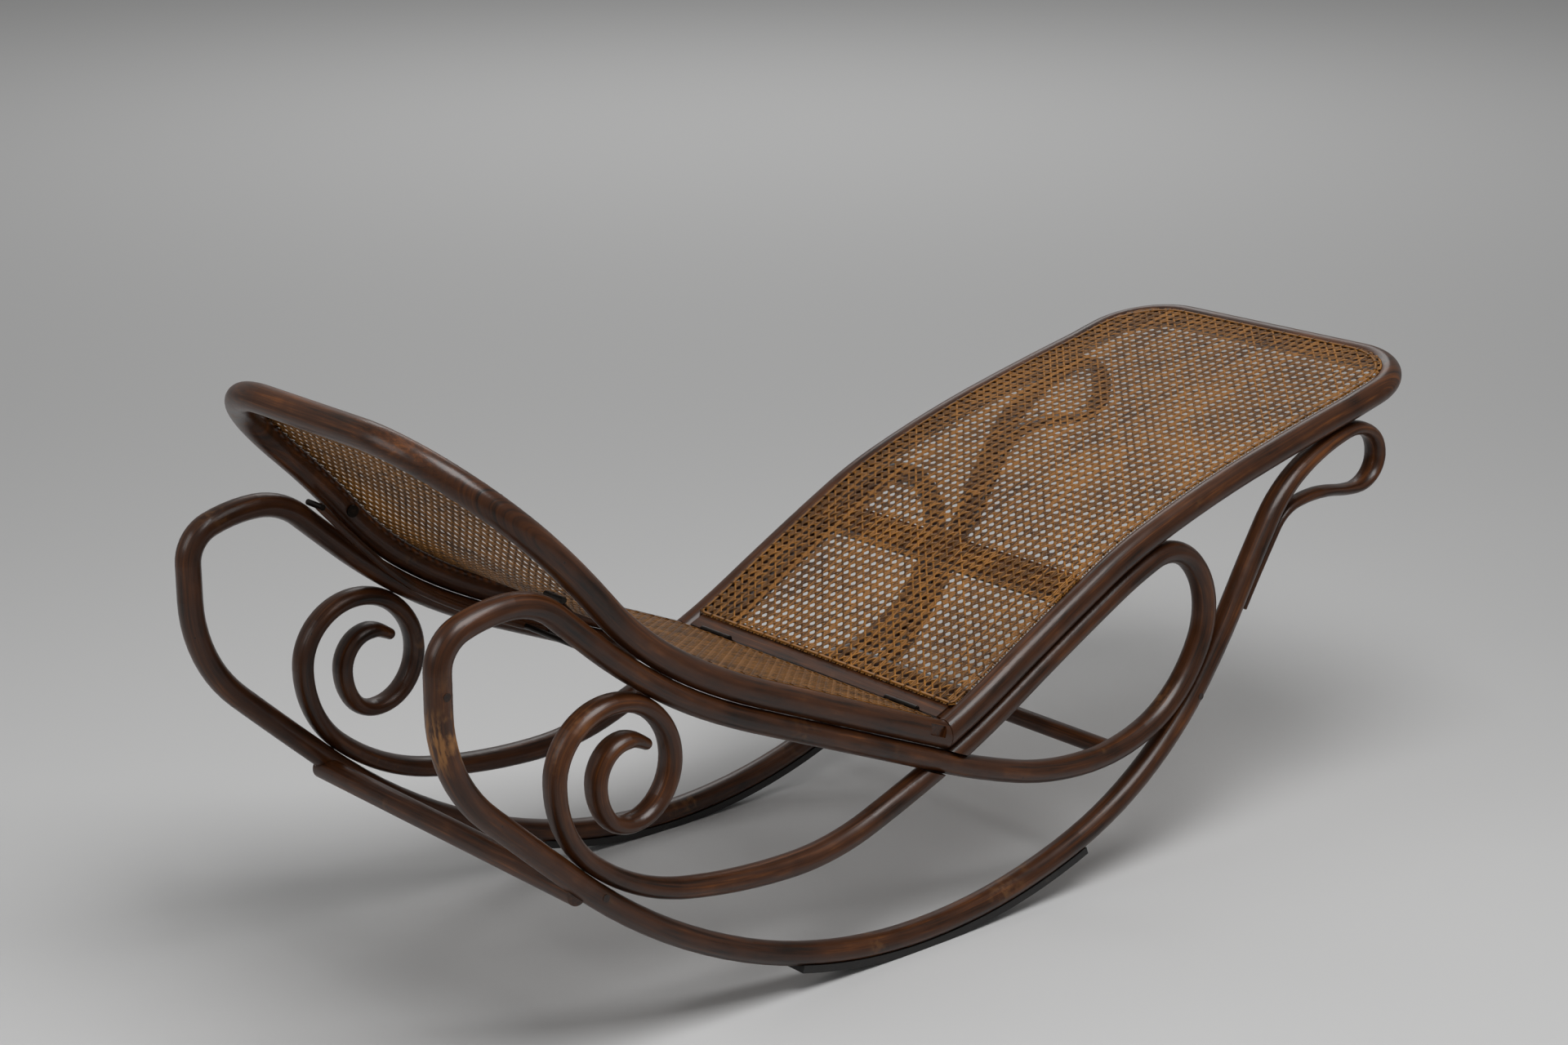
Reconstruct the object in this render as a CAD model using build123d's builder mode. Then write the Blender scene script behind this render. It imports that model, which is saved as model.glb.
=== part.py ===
"""Rocking chaise longue of bent beech rods, with two cane panels and a back that tilts on hinges."""

import os
from math import asin, atan2, cos, degrees, pi, radians, sin, sqrt, tan

from build123d import *

# Bent rods of the side frames: thick in the plane of the bend, wide across the chair
FRAME_Y = 270.0
ROD_T = 31.0
ROD_W = 36.0
SHIN_T = 30.0
CROOK_T = 21.0
CROOK_TURN_T = 19.0
CROOK_RETURN_T = 16.0
CROOK_RETURN_W = 32.0
STRAND_T = 13.0
STRAND_W = 23.0
STRAND_TIP_T = 12.0
STRAND_TIP_W = 19.0
SCROLL_T = 24.0
SCROLL_INNER_T = 22.0
BEAK_T = 15.0
BEAK_W = 24.0
TOUCH = 0.3

# Joints of the rods: scarf at the head, half lap where two rods cross
SCARF_LENGTH = 40.0
SCARF_MARGIN = 3.0
LAP_GAP = 0.5

# Rims of the two panels
RIM_T = 36.0
RIM_W = 36.0
FOOT_BEND = 100.0
HEAD_BEND = 170.0
MITRE_GAP = 1.0

# Cane panels
CANE_T = 2.0
CANE_EDGE = 10.0
CANE_START = 12.0

# Cross rails between the rims, with tenons let into them
RAIL_W = 34.0
RAIL_T = 20.0
TENON_W = 28.0
TENON_T = 14.0
TENON_GAP = 0.15
BLIND_TENON = 22.0
THROUGH_TENON = 30.0
MIDDLE_RAIL_X = 165.0
MIDDLE_RAIL_W = 45.0
MIDDLE_RAIL_T = 18.0

# Round stretchers
HEAD_STRETCHER_D = 30.0
HEAD_STRETCHER_DROP = 11.0
HEAD_STRETCHER_X = -669.0
HEAD_STRETCHER_PAST = 5.0
FOOT_STRETCHER_D = 25.0
FOOT_STRETCHER_X = 235.0

# Wear strips under the runners, worn flat where they rest
STRIP_T = 6.0
STRIP_W = 30.0
STRIP_LIP = 4.0
STRIP_WORN = 0.6
STRIP_HEAD_X = -330.0
STRIP_FOOT_X = 170.0

# Butt hinges at the valley between the panels
HINGE_Y = 190.0
HINGE_LENGTH = 60.0
HINGE_RISE = 1.5
HEEL_GAP = 0.8
KNUCKLE_R = 4.0
KNUCKLE_GAP = 0.3
PIN_R = 2.0
PIN_GAP = 0.05
PIN_HEAD_R = 3.0
PIN_HEAD_T = 1.5
LEAF_T = 2.0
LEAF_H = 14.0
LEAF_SEAT = 3.0

# Prop bail under the back, with its pivot screws and the stops on the back rim
BAIL_ARM_D = 8.0
BAIL_BAR_D = 8.0
BAIL_CLEAR = 6.0
BAIL_SEAT = 1.0
BAIL_EYE_R = 9.0
BAIL_BAR_SHORT = 3.0
PIVOT_X = -330.0
PIVOT_R = 4.0
PIVOT_HEAD_R = 8.0
PIVOT_HEAD_T = 3.0
PIVOT_GRIP = 24.0
STOP_X = -630.0
STOP_R = 4.0
STOP_HEAD_R = 8.0
STOP_HEAD_T = 3.0
STOP_GRIP = 20.0

# Wood screws that bind the frame
SCREW_R = 2.5
SCREW_HEAD_R = 5.0
SCREW_HEAD_T = 3.0
SCREW_GAP = 0.1
SCREW_SINK = 1.0
SCREW_BITE = 14.0
RIM_SCREW_X = 40.0

# Stations of the rods' centre lines, seen from the right: x, z and the heading in degrees
SPLICE = (-858.0, 517.0)
HEAD_LOOP_TOP = (-760.0, 597.0, 0.0)
HEAD_LOOP_FOOT = (-643.0, 525.0, -41.3)
REST_CONTACT = (-555.0, 457.5, -34.0)
REST_STRAIGHT = (-400.0, 376.0, -22.4)
CROSSING_REST = (-84.0, 246.0, -22.4)
SEAT_LOOP_LOW = (187.0, 179.0, 0.0)
SEAT_LOOP_FOOT = (411.0, 348.0, 90.0)
SEAT_LOOP_END = (300.0, 441.5, 200.0)
RUNNER_SCROLL = (-674.0, 241.0, -42.0)
RUNNER_LOW_X = -122.0
RUNNER_LOOP = (400.0, 240.0, 52.0)
SHIN = (535.0, 452.0, 57.5)
CROOK_X = 690.0
CROOK_FOOT = (769.0, 509.0, -90.0)
CROOK_LOW = (721.0, 466.0, -180.0)
CROOK_RETURN = (642.0, 473.0, -180.0)
STRAND_UNDER_SEAT = (150.0, 369.0, 208.4)
CROSSING_STRAND = (-84.0, 246.0, 202.8)
SCROLL_LOW = (-343.0, 173.0, 180.0)
SCROLL_HEAD = (-702.0, 368.0, 90.0)
SCROLL_TOP = (-619.0, 449.0, 0.0)
SCROLL_FOOT = (-532.0, 364.0, -90.0)
SCROLL_INNER_LOW = (-597.0, 294.0, -180.0)
SCROLL_INNER_HEAD = (-643.0, 353.0, -270.0)
SCROLL_INNER_TOP = (-600.0, 400.0, -360.0)
BEAK = (-569.0, 388.0, -392.0)

# Stations of the rims, where they leave the rods that carry them
SEAT_OVER_CROOK = (CROOK_X, 582.0, 12.0)
FOOT_END = (856.0, 622.0, 13.5)
HEAD_END = (-838.0, 777.0, 136.5)

SIDES = (1, -1)


def biarcs(stations):
    """Join stations by pairs of arcs that keep every heading, and return all the knots."""
    knots = [stations[0]]
    for (x0, z0, a0), (x1, z1, a1) in zip(stations, stations[1:]):
        chord = Vector(x1 - x0, z1 - z0)
        leave = Vector(cos(radians(a0)), sin(radians(a0)))
        arrive = Vector(cos(radians(a1)), sin(radians(a1)))
        both = leave + arrive
        spread = 2 * (1 - leave.dot(arrive))
        if spread < 1e-9:
            reach = chord.dot(chord) / (4 * chord.dot(arrive))
        else:
            run = chord.dot(both)
            reach = (sqrt(run**2 + spread * chord.dot(chord)) - run) / spread
        x = (x0 + x1 + reach * (leave.X - arrive.X)) / 2
        z = (z0 + z1 + reach * (leave.Y - arrive.Y)) / 2
        knots += [(x, z, 2 * degrees(atan2(z - z0, x - x0)) - a0), (x1, z1, a1)]
    return knots


def half_turn(start, end):
    """Half of the angle, in radians, that the arc between two knots turns to the left."""
    turn = atan2(end[1] - start[1], end[0] - start[0]) - radians(start[2])
    return (turn + pi) % (2 * pi) - pi


def beside(station, distance):
    """A station moved to the left of its heading."""
    x, z, heading = station
    angle = radians(heading)
    return (x - distance * sin(angle), z + distance * cos(angle), heading)


def turned(station):
    """A station passed the other way."""
    x, z, heading = station
    return (x, z, heading + 180)


def short_of(station, distance):
    """A station moved back along its heading."""
    x, z, heading = station
    angle = radians(heading)
    return (x - distance * cos(angle), z - distance * sin(angle), heading)


def after(path, x):
    """The rest of a path from the knot where it passes x."""
    for number, (start, end) in enumerate(zip(path, path[1:]), 1):
        if min(start[0], end[0]) <= x <= max(start[0], end[0]):
            break
    half = half_turn(start, end)
    if abs(half) < 1e-6:
        share = (x - start[0]) / (end[0] - start[0])
        here = (x, start[1] + share * (end[1] - start[1]), start[2])
    else:
        radius = Vector(end[0] - start[0], end[1] - start[1]).length / (2 * sin(half))
        centre = beside(start, radius)
        angle = asin((x - centre[0]) / radius)
        if cos(radians(start[2])) < 0:
            angle = pi - angle
        here = (x, centre[1] - radius * cos(angle), degrees(angle))
    return [here] + path[number:]


def at(path, x):
    """The station where a path passes x."""
    return after(path, x)[0]


def between(path, low, high):
    """The stretch of a path that runs from one x up to another."""
    rest = after(path, low)
    return [knot for knot in rest[:rest.index(after(rest, high)[1])] if knot[0] < high] + [at(rest, high)]


def stretch(path, first, last):
    """The knots of a path from one of its stations to another."""
    return path[path.index(first):path.index(last) + 1]


def square_plane(station, y):
    """The plane square to a rod at a station, with its first axis across the chair."""
    x, z, heading = station
    angle = radians(heading)
    return Plane(origin=(x, y, z), x_dir=(0, 1, 0), z_dir=(cos(angle), 0, sin(angle)))


def normal_plane(station, y, height=0.0):
    """The plane whose normal points to the left of a station's heading, raised along that normal."""
    x, z, heading = beside(station, height)
    angle = radians(heading)
    return Plane(origin=(x, y, z), x_dir=(cos(angle), 0, sin(angle)), z_dir=(-sin(angle), 0, cos(angle)))


def panel_plane(station, up, y=0.0):
    """The side plane at a station of a panel: first axis along the panel, second axis up from its face."""
    x, z, heading = station
    angle = radians(heading)
    return Plane(origin=(x, y, z), x_dir=(cos(angle), 0, sin(angle)), z_dir=(0, -up, 0))


def cross_plane(station, y):
    """The side plane at a station, with its normal across the chair to the left."""
    return Plane(origin=(station[0], y, station[1]), x_dir=(1, 0, 0), z_dir=(0, 1, 0))


def draw(path):
    """Draw a path's arcs in the current line."""
    for start, end in zip(path, path[1:]):
        half = half_turn(start, end)
        if abs(half) < 1e-6:
            Line(start[:2], end[:2])
        else:
            sag = tan(half / 2) / 2
            middle_x = (start[0] + end[0]) / 2 + (end[1] - start[1]) * sag
            middle_z = (start[1] + end[1]) / 2 - (end[0] - start[0]) * sag
            ThreePointArc(start[:2], (middle_x, middle_z), end[:2])


def bend(path, sections, y, mode=Mode.ADD, grow=0.0):
    """Sweep an ellipse along a path in a side plane, tapering where its thickness or width changes."""
    start = 0
    while start < len(path) - 1:
        end = start + 1
        while end < len(path) - 1 and sections[start] == sections[end] == sections[end + 1]:
            end += 1
        with BuildLine(Plane.XZ.offset(-y)) as spine:
            draw(path[start:end + 1])
        tapers = sections[start] != sections[end]
        outlines = []
        for knot in (start, end) if tapers else (start,):
            thick, wide = sections[knot]
            with BuildSketch(square_plane(path[knot], y)) as outline:
                Ellipse(wide / 2 + grow, thick / 2 + grow)
            outlines += outline.sketch.faces()
        sweep(outlines, path=spine.wire(), multisection=tapers, mode=mode)
        start = end


def spread_sections(sections):
    """Sections for every knot of a biarc path, from those at its stations."""
    knots = [sections[0]]
    for (t0, w0), (t1, w1) in zip(sections, sections[1:]):
        knots += [((t0 + t1) / 2, (w0 + w1) / 2), (t1, w1)]
    return knots


def peg(plane, radius, length, mode=Mode.ADD):
    """A round peg, or its hole, along a plane's normal."""
    with BuildSketch(plane) as outline:
        Circle(radius)
    extrude(outline.sketch, amount=length, mode=mode)


# Centre lines of the side frames
splice_reach = SCARF_LENGTH / 2 + SCARF_MARGIN
splice_top = (SPLICE[0], SPLICE[1] + splice_reach, 90)
splice_low = (SPLICE[0], SPLICE[1] - splice_reach, 90)
loop_contact = beside(RUNNER_LOOP, ROD_T + TOUCH)
loop_path = [splice_low] + biarcs([
    splice_top, HEAD_LOOP_TOP, HEAD_LOOP_FOOT, REST_CONTACT, REST_STRAIGHT, CROSSING_REST,
    SEAT_LOOP_LOW, loop_contact, SEAT_LOOP_FOOT, SEAT_LOOP_END,
])
loop_sections = [(ROD_T, ROD_W)] * len(loop_path)

rod_to_scroll = ROD_T / 2 + SCROLL_T / 2 + TOUCH
scroll_path = biarcs([
    SEAT_LOOP_END, STRAND_UNDER_SEAT, CROSSING_STRAND, SCROLL_LOW,
    turned(beside(RUNNER_SCROLL, rod_to_scroll)), SCROLL_HEAD, SCROLL_TOP,
    beside(REST_CONTACT, -rod_to_scroll), SCROLL_FOOT,
    SCROLL_INNER_LOW, SCROLL_INNER_HEAD, SCROLL_INNER_TOP, BEAK,
])
scroll_sections = spread_sections(
    [(ROD_T, ROD_W)] * 4 + [(SCROLL_T, ROD_W)] * 5 + [(SCROLL_INNER_T, ROD_W)] * 3 + [(BEAK_T, BEAK_W)]
)

# Centre lines of the rims: they lie on the rods near the valley and leave them further out
rod_to_rim = ROD_T / 2 + RIM_T / 2 + TOUCH
foot_bend_start = short_of(FOOT_END, FOOT_BEND)
under_seat = stretch(scroll_path, SEAT_LOOP_END, CROSSING_STRAND)
seat_on_strand = [beside(turned(knot), rod_to_rim) for knot in reversed(under_seat)]
seat_path = seat_on_strand[:-1] + biarcs([seat_on_strand[-1], SEAT_OVER_CROOK, foot_bend_start])
head_bend_start = short_of(HEAD_END, HEAD_BEND)
under_back = stretch(loop_path, REST_CONTACT, CROSSING_REST)
back_on_rest = [beside(turned(knot), -rod_to_rim) for knot in reversed(under_back)]
back_path = back_on_rest[:-1] + biarcs([back_on_rest[-1], head_bend_start])
valley_x = CROSSING_REST[0]
seat_valley = at(seat_path, valley_x)
back_valley = at(back_path, valley_x)

# Runner: rocks on the floor, climbs past the seat loop, and its thin end lies back along its own shin
crook_top = beside(SEAT_OVER_CROOK, -(RIM_T / 2 + CROOK_T / 2 + TOUCH))
_, climb_middle, _ = biarcs([RUNNER_LOOP, SHIN])
strand_start = turned(beside(SHIN, -(SHIN_T / 2 + STRAND_T / 2 + TOUCH)))
strand_tip = turned(beside(climb_middle, -(ROD_T / 2 + STRAND_TIP_T / 2 + TOUCH)))
runner_low = (RUNNER_LOW_X, ROD_T / 2 + STRIP_T - STRIP_WORN, 0)
runner_path = [turned(splice_top)] + biarcs([
    turned(splice_low), RUNNER_SCROLL, runner_low, RUNNER_LOOP, SHIN, crook_top,
    CROOK_FOOT, CROOK_LOW, CROOK_RETURN, strand_start, strand_tip,
])
runner_sections = [(ROD_T, ROD_W)] + spread_sections(
    [(ROD_T, ROD_W)] * 4
    + [(SHIN_T, ROD_W), (CROOK_T, ROD_W), (CROOK_TURN_T, ROD_W), (CROOK_RETURN_T, CROOK_RETURN_W)]
    + [(CROOK_RETURN_T, CROOK_RETURN_W), (STRAND_T, STRAND_W), (STRAND_TIP_T, STRAND_TIP_W)]
)

# Screws across the contacts of the rods: station, and where along its left normal the screw starts and ends
rod_screws = [
    (RUNNER_SCROLL, -ROD_T / 2 + SCREW_SINK, ROD_T / 2 + SCREW_BITE),
    (beside(REST_CONTACT, -rod_to_scroll), -SCROLL_T / 2 + SCREW_SINK, SCROLL_T / 2 + SCREW_BITE),
    (RUNNER_LOOP, -ROD_T / 2 + SCREW_SINK, ROD_T / 2 + SCREW_BITE),
]
seat_screw_stations = [
    (turned(at(scroll_path, RIM_SCREW_X)), -ROD_T / 2 + SCREW_SINK, ROD_T / 2 + SCREW_BITE),
    (crook_top, -CROOK_T / 2 + SCREW_SINK, CROOK_T / 2 + SCREW_BITE),
]


def screws(places, y, mode=Mode.ADD, grow=0.0):
    """Countersunk screws, or their holes, along the normals of the stations given."""
    for station, start, end in places:
        peg(normal_plane(station, y, start - grow), SCREW_HEAD_R + grow, SCREW_HEAD_T + grow, mode)
        peg(normal_plane(station, y, start), SCREW_R + grow, end - start + grow, mode)


def write(piece, name):
    """Label a finished piece and write its file."""
    piece.part.label = name
    export_step(piece.part, f"parts/{name}.step")


def write_pair(piece, name):
    """Write a piece of the left side, and its mirror image for the right side."""
    write(piece, f"{name}_left")
    with BuildPart() as opposite:
        mirror(piece.part, about=Plane.XZ)
    write(opposite, f"{name}_right")


os.makedirs("parts", exist_ok=True)

# Side frames
scarf_slant = degrees(atan2(SCARF_LENGTH, ROD_T))
rod_face = FRAME_Y - ROD_W / 2
pivot = at(under_back, PIVOT_X)
_, bail_seat, _ = stretch(loop_path, HEAD_LOOP_TOP, HEAD_LOOP_FOOT)
with BuildPart() as runner:
    bend(runner_path, runner_sections, FRAME_Y)
    with BuildSketch(Plane.XZ):
        with Locations(SPLICE):
            Rectangle(2 * SCARF_LENGTH, 2 * ROD_T, rotation=-scarf_slant, align=(Align.CENTER, Align.MIN))
    extrude(amount=FRAME_Y + ROD_W, both=True, mode=Mode.SUBTRACT)
    screws(rod_screws + seat_screw_stations, FRAME_Y, Mode.SUBTRACT, SCREW_GAP)
write_pair(runner, "runner")

with BuildPart() as loop_rod:
    bend(loop_path, loop_sections, FRAME_Y)
    with BuildSketch(Plane.XZ):
        with Locations(SPLICE):
            Rectangle(2 * SCARF_LENGTH, 2 * ROD_T, rotation=-scarf_slant, align=(Align.CENTER, Align.MAX))
    extrude(amount=FRAME_Y + ROD_W, both=True, mode=Mode.SUBTRACT)
    with BuildSketch(Plane.XZ):
        with Locations(CROSSING_STRAND[:2]):
            Rectangle(3 * ROD_T, ROD_T + 2 * LAP_GAP, rotation=CROSSING_STRAND[2])
    extrude(amount=-FRAME_Y, mode=Mode.SUBTRACT)
    screws(rod_screws, FRAME_Y, Mode.SUBTRACT, SCREW_GAP)
    peg(
        cross_plane(pivot, rod_face - SCREW_GAP),
        PIVOT_R + SCREW_GAP, PIVOT_GRIP, Mode.SUBTRACT,
    )
write_pair(loop_rod, "loop_rod")

with BuildPart() as scroll_rod:
    bend(scroll_path, scroll_sections, FRAME_Y)
    with BuildSketch(Plane.XZ.offset(-FRAME_Y)):
        with Locations(CROSSING_REST[:2]):
            Rectangle(3 * ROD_T, ROD_T + 2 * LAP_GAP, rotation=CROSSING_REST[2])
    extrude(amount=-ROD_W, mode=Mode.SUBTRACT)
    screws(rod_screws + seat_screw_stations, FRAME_Y, Mode.SUBTRACT, SCREW_GAP)
write_pair(scroll_rod, "scroll_rod")

with BuildPart() as runner_strip:
    strip_run = between(runner_path, STRIP_HEAD_X, STRIP_FOOT_X)
    with BuildLine(Plane.XZ.offset(-FRAME_Y)) as spine:
        draw([beside(knot, -ROD_T / 2 - STRIP_T) for knot in strip_run])
    with BuildSketch(square_plane(beside(strip_run[0], -ROD_T / 2 - STRIP_T), FRAME_Y)):
        Rectangle(STRIP_W, STRIP_T + STRIP_LIP, align=(Align.CENTER, Align.MIN))
    sweep(path=spine.wire())
    over_strip = between(runner_path, STRIP_HEAD_X - ROD_T, STRIP_FOOT_X + ROD_T)
    bend(over_strip, [(ROD_T, ROD_W)] * len(over_strip), FRAME_Y, Mode.SUBTRACT, TOUCH)
    with BuildSketch(Plane.XY):
        with Locations((RUNNER_LOW_X, FRAME_Y)):
            Rectangle(STRIP_FOOT_X - STRIP_HEAD_X, 2 * STRIP_W)
    extrude(amount=-STRIP_T, mode=Mode.SUBTRACT)
write_pair(runner_strip, "runner_strip")

with BuildPart() as frame_screws:
    screws(rod_screws, FRAME_Y)
write_pair(frame_screws, "frame_screws")

# Stretchers, with their ends coped to the rods
with BuildPart() as head_stretcher:
    half_length = FRAME_Y + HEAD_STRETCHER_PAST
    axis = beside(at(runner_path, HEAD_STRETCHER_X), -HEAD_STRETCHER_DROP)
    peg(cross_plane(axis, -half_length), HEAD_STRETCHER_D / 2, 2 * half_length)
    run = between(runner_path, HEAD_STRETCHER_X - 2 * ROD_T, HEAD_STRETCHER_X + 2 * ROD_T)
    for sign in SIDES:
        bend(run, [(ROD_T, ROD_W)] * len(run), sign * FRAME_Y, Mode.SUBTRACT, TOUCH)
write(head_stretcher, "head_stretcher")

with BuildPart() as foot_stretcher:
    axis = at(loop_path, FOOT_STRETCHER_X)
    peg(cross_plane(axis, -FRAME_Y), FOOT_STRETCHER_D / 2, 2 * FRAME_Y)
    run = between(loop_path, FOOT_STRETCHER_X - 2 * ROD_T, FOOT_STRETCHER_X + 2 * ROD_T)
    for sign in SIDES:
        bend(run, [(ROD_T, ROD_W)] * len(run), sign * FRAME_Y, Mode.SUBTRACT, TOUCH)
write(foot_stretcher, "foot_stretcher")

# Hinge axis at the valley, just above the rims, and the heights of rails and cane measured from it
hinge_z = seat_valley[1] + RIM_T / 2 / cos(radians(seat_valley[2])) + HINGE_RISE
seat_hinge = (valley_x, hinge_z, seat_valley[2])
back_hinge = (valley_x, hinge_z, back_valley[2])
cane_lift = RIM_T / 2 * sqrt(1 - (CANE_EDGE / (RIM_W / 2)) ** 2) + TOUCH
rail_u = LEAF_SEAT + RAIL_W / 2
under_cane = cane_lift - TOUCH - RAIL_T / 2
seat_rail_n = under_cane - (hinge_z - seat_valley[1]) * cos(radians(seat_valley[2]))
back_rail_n = under_cane + (hinge_z - back_valley[1]) * cos(radians(back_valley[2]))
middle_station = at(seat_path, MIDDLE_RAIL_X)
middle_n = cane_lift - TOUCH - MIDDLE_RAIL_T / 2
inner_face = FRAME_Y - RIM_W / 2


def tenon(plane, u, n, reach, mode=Mode.ADD, grow=0.0):
    """A pair of tenons, or their mortises, out to both sides from the middle of the chair."""
    with BuildSketch(plane) as outline:
        with Locations((u, n)):
            Rectangle(TENON_W + 2 * grow, TENON_T + 2 * grow)
    extrude(outline.sketch, amount=reach, both=True, mode=mode)


def rim(path, bend_start, radius):
    """Sweep both rails of a rim and the round bend that joins them."""
    for sign in SIDES:
        bend(path, [(RIM_T, RIM_W)] * len(path), sign * FRAME_Y)
    with BuildLine(normal_plane(bend_start, 0)) as spine:
        CenterArc((0, radius - FRAME_Y), radius, -90, 90)
        Line((radius, radius - FRAME_Y), (radius, FRAME_Y - radius))
        CenterArc((0, FRAME_Y - radius), radius, 0, 90)
    with BuildSketch(square_plane(bend_start, -FRAME_Y)) as outline:
        Ellipse(RIM_W / 2, RIM_T / 2)
    sweep(outline.sketch.faces(), path=spine.wire())


def cut_at_valley(edge_x, side):
    """Cut a rim square to the floor at the valley, on the side given."""
    with BuildSketch(Plane.XZ) as outline:
        with Locations((edge_x, seat_valley[1])):
            Rectangle(2 * RIM_T, 3 * RIM_T, align=(side, Align.CENTER))
    extrude(outline.sketch, amount=FRAME_Y + RIM_W, both=True, mode=Mode.SUBTRACT)


def cane_sheet(path, start_x, bend_start, radius, up):
    """A thin sheet over a rim, from near the valley to the round bend."""
    run = after(path, start_x)
    top = [beside(knot, up * (cane_lift + CANE_T)) for knot in run]
    low = [beside(knot, up * cane_lift) for knot in run]
    half_width = FRAME_Y - CANE_EDGE
    corner = radius - CANE_EDGE
    with BuildSketch(Plane.XZ) as profile:
        with BuildLine():
            draw(top)
            Line(top[-1][:2], low[-1][:2])
            draw([turned(knot) for knot in reversed(low)])
            Line(low[0][:2], top[0][:2])
        make_face()
    extrude(profile.sketch, amount=half_width, both=True)
    with BuildSketch(normal_plane(bend_start, 0, up * cane_lift)) as end:
        with BuildLine():
            CenterArc((0, corner - half_width), corner, -90, 90)
            Line((corner, corner - half_width), (corner, half_width - corner))
            CenterArc((0, half_width - corner), corner, 0, 90)
            Line((0, half_width), (0, -half_width))
        make_face()
    extrude(end.sketch, amount=up * CANE_T)


# Seat panel
with BuildPart() as seat_rim:
    rim(seat_path, foot_bend_start, FOOT_BEND)
    cut_at_valley(valley_x + MITRE_GAP / 2, Align.MAX)
    mortise = inner_face + BLIND_TENON + TENON_GAP
    tenon(panel_plane(seat_hinge, 1), rail_u, seat_rail_n, mortise, Mode.SUBTRACT, TENON_GAP)
    tenon(panel_plane(middle_station, 1), 0, middle_n, mortise, Mode.SUBTRACT, TENON_GAP)
    for sign in SIDES:
        screws(seat_screw_stations, sign * FRAME_Y, Mode.SUBTRACT, SCREW_GAP)
write(seat_rim, "seat_rim")

with BuildPart() as seat_cross_rail:
    with BuildSketch(panel_plane(seat_hinge, 1)):
        with Locations((rail_u, seat_rail_n)):
            Rectangle(RAIL_W, RAIL_T)
    extrude(amount=inner_face - TOUCH, both=True)
    tenon(panel_plane(seat_hinge, 1), rail_u, seat_rail_n, inner_face + BLIND_TENON)
write(seat_cross_rail, "seat_cross_rail")

with BuildPart() as seat_middle_rail:
    with BuildSketch(panel_plane(middle_station, 1)):
        with Locations((0, middle_n)):
            Rectangle(MIDDLE_RAIL_W, MIDDLE_RAIL_T)
    extrude(amount=inner_face - TOUCH, both=True)
    tenon(panel_plane(middle_station, 1), 0, middle_n, inner_face + BLIND_TENON)
write(seat_middle_rail, "seat_middle_rail")

with BuildPart() as seat_cane:
    cane_sheet(seat_path, valley_x + CANE_START, foot_bend_start, FOOT_BEND, 1)
write(seat_cane, "seat_cane")

with BuildPart() as seat_screws:
    for sign in SIDES:
        screws(seat_screw_stations, sign * FRAME_Y)
write(seat_screws, "seat_screws")

# Back panel, which tilts on the hinges, with a round heel that turns clear of the rest rods
rest_heading = radians(CROSSING_REST[2])
heel_radius = (hinge_z - CROSSING_REST[1]) * cos(rest_heading) - ROD_T / 2 - HEEL_GAP
heel_length = -heel_radius * sin(rest_heading)
stop = at(back_path, STOP_X)
with BuildPart() as back_rim:
    rim(back_path, head_bend_start, HEAD_BEND)
    cut_at_valley(valley_x - MITRE_GAP / 2, Align.MIN)
    with BuildSketch(Plane.XZ):
        with Locations((valley_x, hinge_z)):
            Rectangle(heel_length, 3 * RIM_T, align=(Align.MAX, Align.MAX))
            Circle(heel_radius, mode=Mode.SUBTRACT)
    extrude(amount=FRAME_Y + RIM_W, both=True, mode=Mode.SUBTRACT)
    tenon(panel_plane(back_hinge, -1), rail_u, back_rail_n, FRAME_Y + RIM_W, Mode.SUBTRACT, TENON_GAP)
    for sign in SIDES:
        peg(
            panel_plane(stop, -sign, sign * (inner_face - TOUCH)),
            STOP_R + SCREW_GAP, STOP_GRIP + TOUCH + SCREW_GAP, Mode.SUBTRACT,
        )
write(back_rim, "back_rim")

with BuildPart() as back_cross_rail:
    with BuildSketch(panel_plane(back_hinge, -1)):
        with Locations((rail_u, back_rail_n)):
            Rectangle(RAIL_W, RAIL_T)
    extrude(amount=inner_face - TOUCH, both=True)
    tenon(panel_plane(back_hinge, -1), rail_u, back_rail_n, inner_face + THROUGH_TENON)
write(back_cross_rail, "back_cross_rail")

with BuildPart() as back_cane:
    cane_sheet(back_path, valley_x - CANE_START, head_bend_start, HEAD_BEND, -1)
write(back_cane, "back_cane")

# Hinges: two knuckles on the seat's leaf, one between them on the back's leaf
knuckle_pitch = HINGE_LENGTH / 3
knuckle_half = (knuckle_pitch - KNUCKLE_GAP) / 2
leaf_top = -KNUCKLE_R - KNUCKLE_GAP


def hinge_leaf(station, up, y, offsets):
    """A hinge leaf that hangs from its knuckles against the end face of a cross rail."""
    with BuildSketch(panel_plane(station, up, y)) as plate:
        with Locations((LEAF_SEAT, leaf_top)):
            Rectangle(LEAF_T, LEAF_H, align=(Align.MAX, Align.MAX))
    extrude(plate.sketch, amount=HINGE_LENGTH / 2, both=True)
    for offset in offsets:
        with BuildSketch(panel_plane(station, up, y + offset)) as knuckle:
            Circle(KNUCKLE_R)
            with Locations((LEAF_SEAT, 0)):
                Rectangle(LEAF_T, KNUCKLE_R + 2 * KNUCKLE_GAP, align=(Align.MAX, Align.MAX))
            Circle(PIN_R + PIN_GAP, mode=Mode.SUBTRACT)
        extrude(knuckle.sketch, amount=knuckle_half, both=True)


with BuildPart() as hinge_seat_leaf:
    hinge_leaf(seat_hinge, 1, HINGE_Y, (-knuckle_pitch, knuckle_pitch))
write_pair(hinge_seat_leaf, "hinge_seat_leaf")

with BuildPart() as hinge_back_leaf:
    hinge_leaf(back_hinge, -1, HINGE_Y, (0,))
write_pair(hinge_back_leaf, "hinge_back_leaf")

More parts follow.
